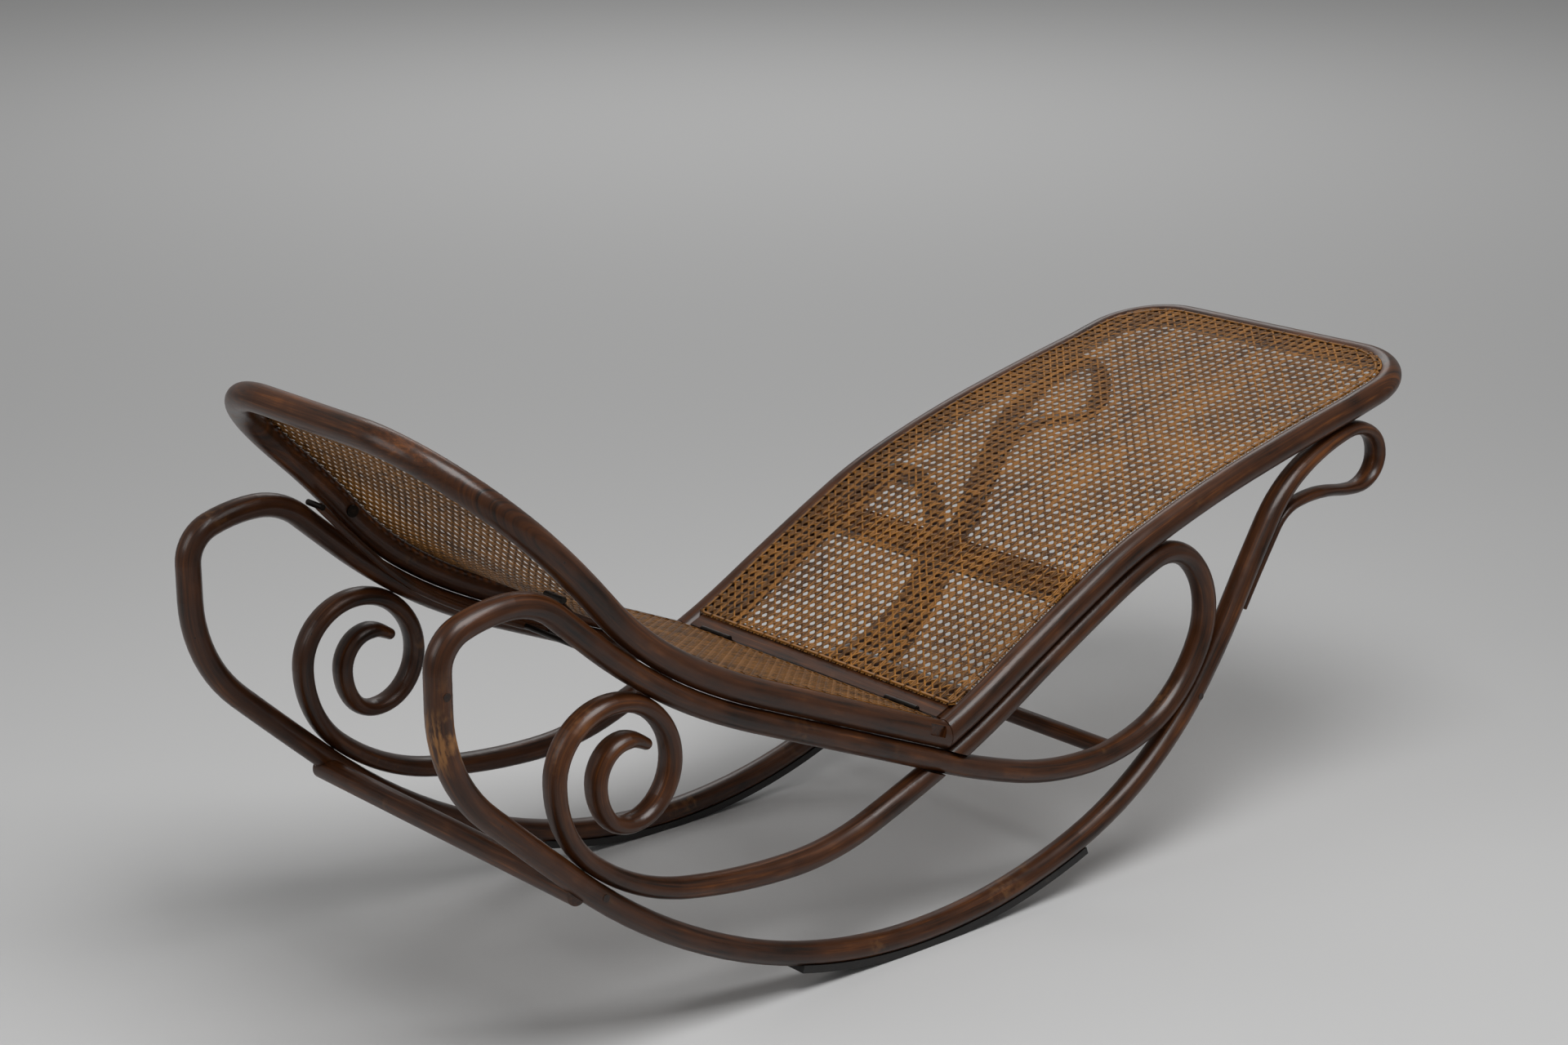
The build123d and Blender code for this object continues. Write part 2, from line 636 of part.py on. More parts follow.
with BuildPart() as hinge_pin:
    half_length = HINGE_LENGTH / 2
    peg(cross_plane(seat_hinge, HINGE_Y - half_length), PIN_R, HINGE_LENGTH)
    peg(cross_plane(seat_hinge, HINGE_Y + half_length), PIN_HEAD_R, PIN_HEAD_T)
    peg(cross_plane(seat_hinge, HINGE_Y - half_length - PIN_HEAD_T), PIN_HEAD_R, PIN_HEAD_T)
write_pair(hinge_pin, "hinge_pin")

# Prop bail: arms along the rest rods, and a bar in the gap between rest rods and back rim
bail_end = turned(beside(bail_seat, ROD_T / 2 + BAIL_SEAT + BAIL_BAR_D / 2))
bail_path = biarcs([turned(pivot), turned(REST_STRAIGHT), turned(REST_CONTACT), bail_end])
bar_half = FRAME_Y + RIM_W / 2 - BAIL_BAR_SHORT
eye_half = BAIL_ARM_D / 2
bail_y = rod_face - BAIL_CLEAR - eye_half
with BuildPart() as prop_bail:
    for sign in SIDES:
        y = sign * bail_y
        bend(bail_path, [(BAIL_ARM_D, BAIL_ARM_D)] * len(bail_path), y)
        peg(cross_plane(pivot, y - eye_half), BAIL_EYE_R, BAIL_ARM_D)
        with Locations((bail_end[0], y, bail_end[1])):
            Sphere(BAIL_ARM_D / 2)
    peg(cross_plane(bail_end, -bar_half), BAIL_BAR_D / 2, 2 * bar_half)
    peg(cross_plane(pivot, -bar_half), PIVOT_R + PIN_GAP, 2 * bar_half, Mode.SUBTRACT)
write(prop_bail, "prop_bail")

with BuildPart() as prop_pivot:
    head_y = bail_y - eye_half - TOUCH
    shank = rod_face + PIVOT_GRIP - 2 * SCREW_GAP - head_y
    peg(cross_plane(pivot, head_y), PIVOT_R, shank)
    peg(cross_plane(pivot, head_y - PIVOT_HEAD_T), PIVOT_HEAD_R, PIVOT_HEAD_T)
write_pair(prop_pivot, "prop_pivot")

with BuildPart() as prop_stop:
    seat_y = inner_face - TOUCH
    peg(cross_plane(stop, seat_y), STOP_R, STOP_GRIP)
    peg(cross_plane(stop, seat_y - STOP_HEAD_T), STOP_HEAD_R, STOP_HEAD_T)
write_pair(prop_stop, "prop_stop")
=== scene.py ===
"""Rocking chaise longue: varnished bentwood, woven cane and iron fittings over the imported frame."""

import logging
import math
from dataclasses import dataclass, field
from enum import Enum

import bpy
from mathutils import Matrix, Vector


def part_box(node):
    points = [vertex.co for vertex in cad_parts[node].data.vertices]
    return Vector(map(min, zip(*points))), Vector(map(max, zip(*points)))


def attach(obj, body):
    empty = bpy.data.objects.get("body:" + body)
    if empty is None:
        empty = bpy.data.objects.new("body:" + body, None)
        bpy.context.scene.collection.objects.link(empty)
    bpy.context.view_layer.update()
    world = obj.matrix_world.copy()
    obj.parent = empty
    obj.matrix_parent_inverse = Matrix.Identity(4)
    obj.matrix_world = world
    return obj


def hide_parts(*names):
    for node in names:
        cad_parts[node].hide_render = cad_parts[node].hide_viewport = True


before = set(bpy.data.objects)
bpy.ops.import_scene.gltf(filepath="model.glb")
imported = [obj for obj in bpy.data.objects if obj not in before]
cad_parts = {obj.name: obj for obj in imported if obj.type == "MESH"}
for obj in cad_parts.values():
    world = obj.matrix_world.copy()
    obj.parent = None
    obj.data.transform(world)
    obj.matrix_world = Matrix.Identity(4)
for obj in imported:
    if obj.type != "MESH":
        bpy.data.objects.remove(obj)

LOG = logging.getLogger("chaise")
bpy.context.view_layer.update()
TINT = "strand_tint"
EDGE_SLACK = 1e-4
FACING_UP = 0.3
RELIEF_STRENGTH = 0.35
Colour = tuple[float, float, float, float]
Place = tuple[float, float, float]


def shade(red: int, green: int, blue: int) -> Colour:
    """Turn a colour on the usual 0 to 255 scale into the linear, opaque one that shaders take."""
    shares = [value / 255 for value in (red, green, blue)]
    linear = [s / 12.92 if s <= 0.04045 else ((s + 0.055) / 1.055) ** 2.4 for s in shares]
    return (linear[0], linear[1], linear[2], 1.0)


class Tree(Enum):
    """Kinds of node tree that the script builds."""

    GEOMETRY = "GeometryNodeTree"
    SHADER = "ShaderNodeTree"


class Socket(Enum):
    """Kinds of socket on a node group."""

    GEOMETRY = "NodeSocketGeometry"
    MATERIAL = "NodeSocketMaterial"
    VALUE = "NodeSocketFloat"
    COUNT = "NodeSocketInt"
    COLOUR = "NodeSocketColor"


class Run(Enum):
    """Ways the grain runs through a wooden piece."""

    SIDE_ROD = "along a rod bent in a side plane"
    RIM = "along the rails of a rim and round its end"
    CROSS_BAR = "across the chaise"


class Towards(Enum):
    """The way a panel runs from the valley, as the sign of its length along X."""

    FEET = 1
    HEAD = -1


class Graph:
    """A node tree under construction, with short calls that add and join nodes.

    A group also has its entry and exit sockets, and a material's tree has its material.
    """

    def __init__(self, tree: bpy.types.NodeTree) -> None:
        """Keep the tree that nodes are added to."""
        self.tree = tree
        self.entry: bpy.types.NodeOutputs | None = None
        self.exit: bpy.types.NodeInputs | None = None
        self.material: bpy.types.Material | None = None

    @classmethod
    def group(cls, name: str, kind: Tree, inputs: dict[str, Socket], outputs: dict[str, Socket]) -> "Graph":
        """Start a node group with named sockets.

        Args:
            name: the group's name.
            kind: geometry or shader.
            inputs: kind of each input socket by its name.
            outputs: kind of each output socket by its name.

        Returns:
            The graph, with its entry and exit nodes.
        """
        graph = cls(bpy.data.node_groups.new(name, kind.value))
        for way, sockets in (("INPUT", inputs), ("OUTPUT", outputs)):
            for label, socket in sockets.items():
                graph.tree.interface.new_socket(name=label, in_out=way, socket_type=socket.value)
        graph.entry = graph.tree.nodes.new("NodeGroupInput").outputs
        graph.exit = graph.tree.nodes.new("NodeGroupOutput").inputs
        return graph

    def feed(self, socket: bpy.types.NodeSocket, value: object) -> None:
        """Link a socket to another one, or set its constant."""
        if isinstance(value, bpy.types.NodeSocket):
            self.tree.links.new(value, socket)
        else:
            socket.default_value = value

    def add(self, kind: str, inputs: dict | None = None, **settings: object) -> bpy.types.Node:
        """Add a node.

        Args:
            kind: Blender's name for the node.
            inputs: what each input takes, by name or number.
            settings: the node's own properties.

        Returns:
            The new node.
        """
        node = self.tree.nodes.new(kind)
        for name, value in settings.items():
            setattr(node, name, value)
        for key, value in (inputs or {}).items():
            self.feed(node.inputs[key], value)
        return node

    def math(self, operation: str, *values: object) -> bpy.types.NodeSocket:
        """Work out one number from one, two or three others."""
        return self.add("ShaderNodeMath", dict(enumerate(values)), operation=operation).outputs[0]

    def vector(self, operation: str, *values: object) -> bpy.types.NodeSocket:
        """Work out one vector from others."""
        return self.add("ShaderNodeVectorMath", dict(enumerate(values)), operation=operation).outputs[0]

    def xyz(self, x: object, y: object, z: object) -> bpy.types.NodeSocket:
        """Join three numbers into a vector."""
        return self.add("ShaderNodeCombineXYZ", {0: x, 1: y, 2: z}).outputs[0]

    def split(self, vector: object) -> list[bpy.types.NodeSocket]:
        """Part a vector into its three numbers."""
        return list(self.add("ShaderNodeSeparateXYZ", {0: vector}).outputs)

    def mix(self, share: object, first: object, second: object) -> bpy.types.NodeSocket:
        """Blend two colours."""
        return self.add("ShaderNodeMix", {0: share, 6: first, 7: second}, data_type="RGBA").outputs[2]

    def step(self, value: object, low: float, high: float) -> bpy.types.NodeSocket:
        """Rise smoothly from 0 at one value to 1 at another."""
        inputs = {"Value": value, "From Min": low, "From Max": high}
        return self.add("ShaderNodeMapRange", inputs, interpolation_type="SMOOTHSTEP").outputs[0]

    def noise(self, place: object, scale: float, detail: float = 3.0) -> bpy.types.NodeSocket:
        """Cloudy values between 0 and 1 over a place."""
        inputs = {"Vector": place, "Scale": scale, "Detail": detail}
        return self.add("ShaderNodeTexNoise", inputs).outputs[0]

    def join(self, *parts: bpy.types.NodeSocket) -> bpy.types.NodeSocket:
        """Join geometries into one."""
        node = self.add("GeometryNodeJoinGeometry")
        for part in parts:
            self.tree.links.new(part, node.inputs[0])
        return node.outputs[0]

    def line(self, start: object, end: object) -> bpy.types.NodeSocket:
        """A straight curve between two points."""
        return self.add("GeometryNodeCurvePrimitiveLine", {"Start": start, "End": end}).outputs[0]

    def repeat(self, shape: object, count: object, start: object, pace: object) -> bpy.types.NodeSocket:
        """Lay copies of a shape at even steps along a straight row."""
        places = self.add("GeometryNodeMeshLine", {"Count": count, "Start Location": start, "Offset": pace})
        copies = self.add("GeometryNodeInstanceOnPoints", {"Points": places.outputs[0], "Instance": shape})
        return self.add("GeometryNodeRealizeInstances", {0: copies.outputs[0]}).outputs[0]

    def evenly(self, curve: object, count: object) -> bpy.types.NodeSocket:
        """Give a curve a count of evenly spaced points."""
        inputs = {"Curve": curve, "Count": count}
        return self.add("GeometryNodeResampleCurve", inputs, mode="COUNT").outputs[0]

    def shift(self, shape: object, offset: object) -> bpy.types.NodeSocket:
        """Move the points of a geometry by an offset."""
        return self.add("GeometryNodeSetPosition", {"Geometry": shape, "Offset": offset}).outputs[0]

    def place(self) -> bpy.types.NodeSocket:
        """The position field."""
        return self.add("GeometryNodeInputPosition").outputs[0]


def bake_nodes(name: str, base: bpy.types.Mesh, tree: bpy.types.NodeTree, values: dict) -> bpy.types.Object:
    """Run a geometry tree on a base mesh and keep the result as a plain mesh.

    Args:
        name: the finished piece's name.
        base: mesh that the tree starts from.
        tree: the geometry tree.
        values: the tree's inputs by their names.

    Returns:
        The finished piece, at the origin.
    """
    carrier = bpy.data.objects.new(f"{name}_guide", base)
    bpy.context.scene.collection.objects.link(carrier)
    modifier = carrier.modifiers.new(tree.name, "NODES")
    modifier.node_group = tree
    for item in tree.interface.items_tree:
        if item.item_type == "SOCKET" and item.in_out == "INPUT" and item.name in values:
            modifier[item.identifier] = values[item.name]
    bpy.context.view_layer.update()
    depsgraph = bpy.context.evaluated_depsgraph_get()
    evaluated = carrier.evaluated_get(depsgraph)
    mesh = bpy.data.meshes.new_from_object(evaluated, preserve_all_data_layers=True, depsgraph=depsgraph)
    mesh.name = name
    bpy.data.objects.remove(carrier)
    piece = bpy.data.objects.new(name, mesh)
    bpy.context.scene.collection.objects.link(piece)
    return piece


@dataclass(frozen=True)
class Varnish:
    """Dark varnish over bent beech, worn through to paler wood in places, with a highlight painted as paler
    wood on the near loop.

    Attributes:
        wear: how strongly the worn patches show.
        patch_scale: about the number of patches to the metre.
        rub_roughness: roughness that rubbing adds.
        relief: depth of the grain.
        worn_grip_and_highlight: the spot on the near loop's outer side that is painted paler, as wood worn
            bare by hands and as a painted highlight.
        worn_grip_and_highlight_reach: how far that paler patch of worn wood and painted highlight spreads
            round it.
        rim_rail: half width beyond which a rim's grain runs along its rails.
        rim_end: half width within which it runs across the chaise.
    """

    dark: Colour = shade(25, 12, 4)
    middle: Colour = shade(60, 31, 11)
    light: Colour = shade(106, 60, 23)
    # Paler wood of the worn patches, also the colour of the highlight painted on the near loop
    rubbed_and_highlit: Colour = shade(146, 101, 57)
    worm_hole: Colour = shade(10, 6, 4)
    wear: float = 0.3
    gloss: float = 0.33
    coat: float = 0.16
    coat_roughness: float = 0.16
    patch_scale: float = 11.0
    rub_roughness: float = 0.3
    relief: float = 0.0004
    # Painted highlight on the near loop's outer side, drawn as wood that hands have worn bare
    worn_grip_and_highlight: Place = (-0.862, -0.278, 0.462)
    worn_grip_and_highlight_reach: float = 0.05
    rim_rail: float = 0.262
    rim_end: float = 0.20


@dataclass(frozen=True)
class Cane:
    """Split cane under old shellac."""

    dark: Colour
    light: Colour
    roughness: float = 0.42
    gloss: float = 0.3
    relief: float = 0.0002


@dataclass(frozen=True)
class Iron:
    """Dark oiled iron, with what a little rust takes off its metallic share and adds to its roughness."""

    base: Colour = shade(38, 33, 29)
    rust: Colour = shade(78, 48, 31)
    wear: float = 0.6
    patch_scale: float = 60.0
    metal: float = 0.85
    metal_lost: float = 0.8
    roughness: float = 0.38
    rust_roughness: float = 0.4
    relief: float = 0.0002


@dataclass(frozen=True)
class WearStrip:
    """Black strip under a runner, with dust in its scuffs."""

    base: Colour = shade(26, 24, 23)
    dust: Colour = shade(72, 68, 63)
    wear: float = 0.7
    patch_scale: float = 34.0
    roughness: float = 0.62
    dust_roughness: float = 0.2
    relief: float = 0.0003


@dataclass(frozen=True)
class Streaks:
    """Noise drawn out along the wood's fibres, by its scales along and across them."""

    along: float
    across: float
    detail: float

    def on_side_rod(self) -> Place:
        """The scales in X, Y and Z for fibres in a side plane."""
        return (self.along, self.across, self.along)

    def on_cross_bar(self) -> Place:
        """The scales in X, Y and Z for fibres across the chaise."""
        return (self.across, self.along, self.across)


class Finishes:
    """The materials of the chaise, and the shader groups that they share."""

    BROAD = Streaks(along=7.0, across=260.0, detail=3.0)
    FINE = Streaks(along=22.0, across=1100.0, detail=2.0)
    # Streaks of the near loop's paler patch, worn wood and painted highlight
    BARE = Streaks(along=40.0, across=260.0, detail=4.0)
    MOTTLE_SCALE = 16.0
    BROAD_SHARE, FINE_SHARE, MOTTLE_SHARE = 0.55, 0.3, 0.35
    DARK_TO_MIDDLE, MIDDLE_TO_LIGHT = (0.42, 0.62), (0.6, 0.86)
    ROUGHNESS, MOTTLE_ROUGHNESS = 0.2, 0.3
    BROAD_HEIGHT = 0.5
    WORM_CELLS, WORM_RARITY = 42.0, 0.7
    WORM_EDGE = (0.06, 0.035)
    PATCH_EDGE, SPECK_EDGE = (0.58, 0.74), (0.42, 0.64)
    SPECK_SCALE = 9.0
    # Core and edge of the near loop's paler patch, worn wood and painted highlight
    BARE_CORE, BARE_EDGE = 0.3, (0.42, 0.62)
    CLOUD_SCALE, KNOT_SCALE, FIBRE_SCALE = 7.0, 90.0, 1500.0
    TINT_SHARE, CLOUD_SHARE, KNOT_SHARE, FIBRE_SHARE = 0.4, 0.5, 0.35, 0.12
    CANE_EDGE = (0.35, 0.95)

    def __init__(self) -> None:
        """Build the shared groups."""
        self.grain = self.grain_group()
        self.scuffs = self.scuff_group()
        self.fibre = self.fibre_group()

    def grain_group(self) -> bpy.types.NodeTree:
        """Streaks that follow the bend: a rod in a side plane keeps one Y along each fibre."""
        colours = {name: Socket.COLOUR for name in ("Dark", "Middle", "Light", "Hole")}
        graph = Graph.group(
            "varnished_grain", Tree.SHADER, {"Across": Socket.VALUE, **colours},
            {"Color": Socket.COLOUR, "Roughness": Socket.VALUE, "Height": Socket.VALUE},
        )
        place = graph.add("ShaderNodeTexCoord").outputs["Object"]

        def drawn_out(streaks: Streaks) -> bpy.types.NodeSocket:
            """Noise drawn out along the side rods, or across the chaise, by the mask."""
            side = graph.vector("MULTIPLY", place, streaks.on_side_rod())
            cross = graph.vector("MULTIPLY", place, streaks.on_cross_bar())
            inputs = {0: graph.entry["Across"]}
            inputs[2] = graph.noise(side, 1.0, streaks.detail)
            inputs[3] = graph.noise(cross, 1.0, streaks.detail)
            return graph.add("ShaderNodeMix", inputs, data_type="FLOAT").outputs[0]

        broad, fine = drawn_out(self.BROAD), drawn_out(self.FINE)
        mottle = graph.noise(place, self.MOTTLE_SCALE, 4.0)
        blend = graph.math("MULTIPLY", broad, self.BROAD_SHARE)
        blend = graph.math("MULTIPLY_ADD", fine, self.FINE_SHARE, blend)
        blend = graph.math("MULTIPLY_ADD", mottle, self.MOTTLE_SHARE, blend)
        warm = graph.step(blend, *self.DARK_TO_MIDDLE)
        colour = graph.mix(warm, graph.entry["Dark"], graph.entry["Middle"])
        pale = graph.step(blend, *self.MIDDLE_TO_LIGHT)
        colour = graph.mix(pale, colour, graph.entry["Light"])
        inputs = {"Vector": place, "Scale": self.WORM_CELLS}
        cells = graph.add("ShaderNodeTexVoronoi", inputs).outputs
        rare = graph.math("GREATER_THAN", graph.split(cells["Color"])[0], self.WORM_RARITY)
        hole = graph.math("MULTIPLY", graph.step(cells["Distance"], *self.WORM_EDGE), rare)
        roughness = graph.math("MULTIPLY_ADD", mottle, self.MOTTLE_ROUGHNESS, self.ROUGHNESS)
        height = graph.math("ADD", fine, graph.math("MULTIPLY", broad, self.BROAD_HEIGHT))
        graph.feed(graph.exit["Color"], graph.mix(hole, colour, graph.entry["Hole"]))
        graph.feed(graph.exit["Roughness"], roughness)
        graph.feed(graph.exit["Height"], height)
        return graph.tree

    def scuff_group(self) -> bpy.types.NodeTree:
        """Patches where a surface is worn: broad clouds broken up by small ones."""
        graph = Graph.group(
            "scuffs", Tree.SHADER, {"Amount": Socket.VALUE, "Scale": Socket.VALUE}, {"Mask": Socket.VALUE},
        )
        place = graph.add("ShaderNodeTexCoord").outputs["Object"]
        scaled = graph.vector("SCALE", place)
        graph.feed(scaled.node.inputs["Scale"], graph.entry["Scale"])
        clouds = graph.step(graph.noise(scaled, 1.0, 3.0), *self.PATCH_EDGE)
        specks = graph.step(graph.noise(scaled, self.SPECK_SCALE, 4.0), *self.SPECK_EDGE)
        mask = graph.math("MULTIPLY", graph.math("MULTIPLY", clouds, specks), graph.entry["Amount"])
        graph.feed(graph.exit["Mask"], mask)
        return graph.tree

    def fibre_group(self) -> bpy.types.NodeTree:
        """Cane strands that differ in tint, with darker places and fine fibres."""
        graph = Graph.group(
            "cane_fibre", Tree.SHADER,
            {"Tint": Socket.VALUE, "Dark": Socket.COLOUR, "Light": Socket.COLOUR},
            {"Color": Socket.COLOUR, "Height": Socket.VALUE},
        )
        place = graph.add("ShaderNodeTexCoord").outputs["Object"]
        clouds = graph.noise(place, self.CLOUD_SCALE, 3.0)
        knots = graph.noise(place, self.KNOT_SCALE, 2.0)
        fibres = graph.noise(place, self.FIBRE_SCALE, 1.0)
        blend = graph.math("MULTIPLY", clouds, self.CLOUD_SHARE)
        blend = graph.math("MULTIPLY_ADD", graph.entry["Tint"], self.TINT_SHARE, blend)
        blend = graph.math("MULTIPLY_ADD", knots, self.KNOT_SHARE, blend)
        blend = graph.math("MULTIPLY_ADD", fibres, self.FIBRE_SHARE, blend)
        share = graph.step(blend, *self.CANE_EDGE)
        graph.feed(graph.exit["Color"], graph.mix(share, graph.entry["Dark"], graph.entry["Light"]))
        graph.feed(graph.exit["Height"], fibres)
        return graph.tree

    @staticmethod
    def blank(name: str) -> tuple[Graph, bpy.types.Node]:
        """Start a material.

        Args:
            name: the material's name.

        Returns:
            Its graph and its shader.
        """
        material = bpy.data.materials.new(name)
        material.use_nodes = True
        graph = Graph(material.node_tree)
        graph.material = material
        return graph, material.node_tree.nodes["Principled BSDF"]

    def worn(self, graph: Graph, amount: float, scale: float) -> bpy.types.NodeSocket:
        """The mask of rubbed patches in a material."""
        inputs = {"Amount": amount, "Scale": scale}
        return graph.add("ShaderNodeGroup", inputs, node_tree=self.scuffs).outputs["Mask"]

    def gripped_and_highlit(self, graph: Graph, place: object, finish: Varnish) -> bpy.types.NodeSocket:
        """Mask of the paler patch on the near loop, worn bare by hands and painted as a highlight, in
        streaks along the rod.
        """
        inputs = {0: place, 1: finish.worn_grip_and_highlight}
        distance = graph.add("ShaderNodeVectorMath", inputs, operation="DISTANCE").outputs["Value"]
        drawn_out = graph.vector("MULTIPLY", place, self.BARE.on_side_rod())
        streaks = graph.noise(drawn_out, 1.0, self.BARE.detail)
        close = graph.step(distance, finish.worn_grip_and_highlight_reach, finish.worn_grip_and_highlight_reach * self.BARE_CORE)
        return graph.math("MULTIPLY", close, graph.step(streaks, *self.BARE_EDGE))

    @staticmethod
    def relief(graph: Graph, shader: bpy.types.Node, height: object, depth: float) -> None:
        """Let a height field bend the shader's normal."""
        inputs = {"Height": height, "Distance": depth, "Strength": RELIEF_STRENGTH}
        graph.feed(shader.inputs["Normal"], graph.add("ShaderNodeBump", inputs).outputs[0])

    def bentwood(self, name: str, finish: Varnish, run: Run) -> bpy.types.Material:
        """Varnished wood whose grain runs as the piece is bent.

        Args:
            name: the material's name.
            finish: the varnish.
            run: the way the grain runs.

        Returns:
            The material.
        """
        graph, shader = self.blank(name)
        colours = {
            "Dark": finish.dark, "Middle": finish.middle, "Light": finish.light, "Hole": finish.worm_hole,
        }
        grain = graph.add("ShaderNodeGroup", colours, node_tree=self.grain)
        place = graph.add("ShaderNodeTexCoord").outputs["Object"]
        if run is Run.RIM:
            width = graph.math("ABSOLUTE", graph.split(place)[1])
            graph.feed(grain.inputs["Across"], graph.step(width, finish.rim_rail, finish.rim_end))
        else:
            grain.inputs["Across"].default_value = 1.0 if run is Run.CROSS_BAR else 0.0
        rubbed_and_highlit = self.worn(graph, finish.wear, finish.patch_scale)
        # Side rods also get the paler patch on the near loop: hand wear and a painted highlight
        if run is Run.SIDE_ROD:
            rubbed_and_highlit = graph.math("MAXIMUM", rubbed_and_highlit, self.gripped_and_highlit(graph, place, finish))
        colour = graph.mix(rubbed_and_highlit, grain.outputs["Color"], finish.rubbed_and_highlit)
        graph.feed(shader.inputs["Base Color"], colour)
        roughness = graph.math("MULTIPLY_ADD", rubbed_and_highlit, finish.rub_roughness, grain.outputs["Roughness"])
        graph.feed(shader.inputs["Roughness"], roughness)
        shader.inputs["Specular IOR Level"].default_value = finish.gloss
        shader.inputs["Coat Weight"].default_value = finish.coat
        shader.inputs["Coat Roughness"].default_value = finish.coat_roughness
        self.relief(graph, shader, grain.outputs["Height"], finish.relief)
        return graph.material

    def cane(self, name: str, finish: Cane) -> bpy.types.Material:
        """Split cane, under a name."""
        graph, shader = self.blank(name)
        tint = graph.add("ShaderNodeAttribute", attribute_name=TINT).outputs["Fac"]
        inputs = {"Tint": tint, "Dark": finish.dark, "Light": finish.light}
        fibre = graph.add("ShaderNodeGroup", inputs, node_tree=self.fibre)
        graph.feed(shader.inputs["Base Color"], fibre.outputs["Color"])
        shader.inputs["Roughness"].default_value = finish.roughness
        shader.inputs["Specular IOR Level"].default_value = finish.gloss
        self.relief(graph, shader, fibre.outputs["Height"], finish.relief)
        return graph.material

    def iron(self, name: str, finish: Iron) -> bpy.types.Material:
        """Dark iron, under a name."""
        graph, shader = self.blank(name)
        rust = self.worn(graph, finish.wear, finish.patch_scale)
        metal = graph.math("MULTIPLY_ADD", rust, -finish.metal_lost, finish.metal)
        roughness = graph.math("MULTIPLY_ADD", rust, finish.rust_roughness, finish.roughness)
        graph.feed(shader.inputs["Base Color"], graph.mix(rust, finish.base, finish.rust))
        graph.feed(shader.inputs["Metallic"], metal)
        graph.feed(shader.inputs["Roughness"], roughness)
        self.relief(graph, shader, rust, finish.relief)
        return graph.material

    def wear_strip(self, name: str, finish: WearStrip) -> bpy.types.Material:
        """Black strip with dusty scuffs, under a name."""
        graph, shader = self.blank(name)
        dust = self.worn(graph, finish.wear, finish.patch_scale)
        roughness = graph.math("MULTIPLY_ADD", dust, finish.dust_roughness, finish.roughness)
        graph.feed(shader.inputs["Base Color"], graph.mix(dust, finish.base, finish.dust))
        graph.feed(shader.inputs["Roughness"], roughness)
        self.relief(graph, shader, dust, finish.relief)
        return graph.material


